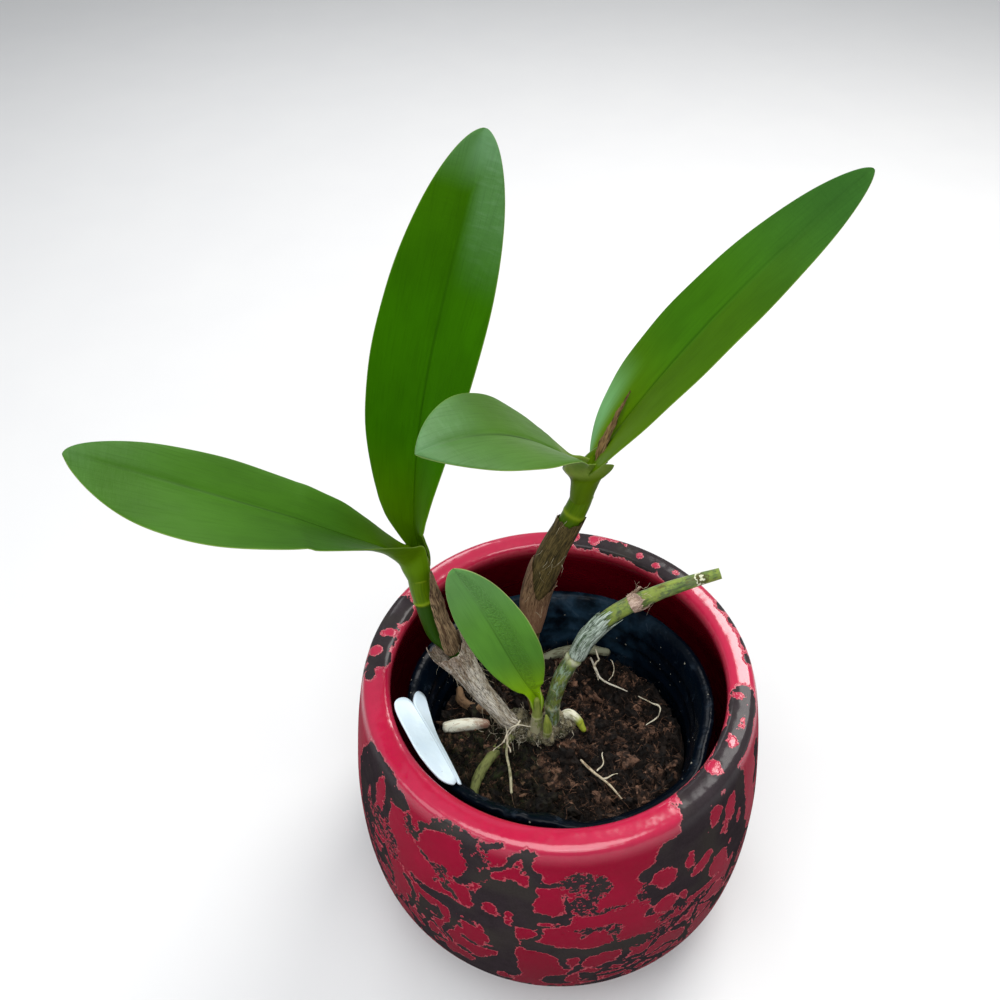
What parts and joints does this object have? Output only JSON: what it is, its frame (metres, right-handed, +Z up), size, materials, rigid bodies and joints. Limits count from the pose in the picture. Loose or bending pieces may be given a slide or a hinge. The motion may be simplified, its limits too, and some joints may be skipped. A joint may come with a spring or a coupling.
{
  "type": "potted cattleya orchid",
  "caption": "Cattleya orchid with long leathery leaves on sheathed pseudobulbs, in a black nursery pot inside a round glazed ceramic pot.",
  "frame": {"origin": "centre of the ceramic pot's flat base, on the surface it stands on", "axes": "+Z up; the plant's front, with the forward-leaning leaf and the raised side of the nursery pot, faces -Y; +X to the right seen from the front"},
  "size_m": [0.2447, 0.1646, 0.3206],
  "materials": {
    "crackled_glaze": "gloss",
    "black_plastic": "satin",
    "potting_medium": "matte",
    "label_plastic": "satin",
    "leaf": "satin",
    "pseudobulb": "satin",
    "dry_sheath": "matte",
    "rhizome": "matte",
    "root": "matte"
  },
  "bodies": {
    "root": {"ceramic_pot": "crackled_glaze", "nursery_pot": "black_plastic", "growing_medium": "potting_medium", "plant_label": "label_plastic", "rhizome": "rhizome", "left_pseudobulb": "pseudobulb", "back_pseudobulb": "pseudobulb", "old_pseudobulb": "pseudobulb", "young_shoot": "pseudobulb", "shoot_bud": "pseudobulb", "left_sheath": "dry_sheath", "left_sheath_strip": "dry_sheath", "back_sheath": "dry_sheath", "old_bulb_sheath": "dry_sheath", "old_bulb_cuff": "dry_sheath", "flower_sheath": "dry_sheath", "leaf_tall": "leaf", "leaf_left": "leaf", "leaf_right": "leaf", "leaf_front": "leaf", "leaf_small": "leaf", "root_white_left": "root", "root_brown_left": "root", "root_green_front": "root", "root_tip_right": "root", "root_pale_back": "root", "root_fine_front": "root", "root_fine_right": "root", "root_fine_back": "root"}
  },
  "joints": []
}
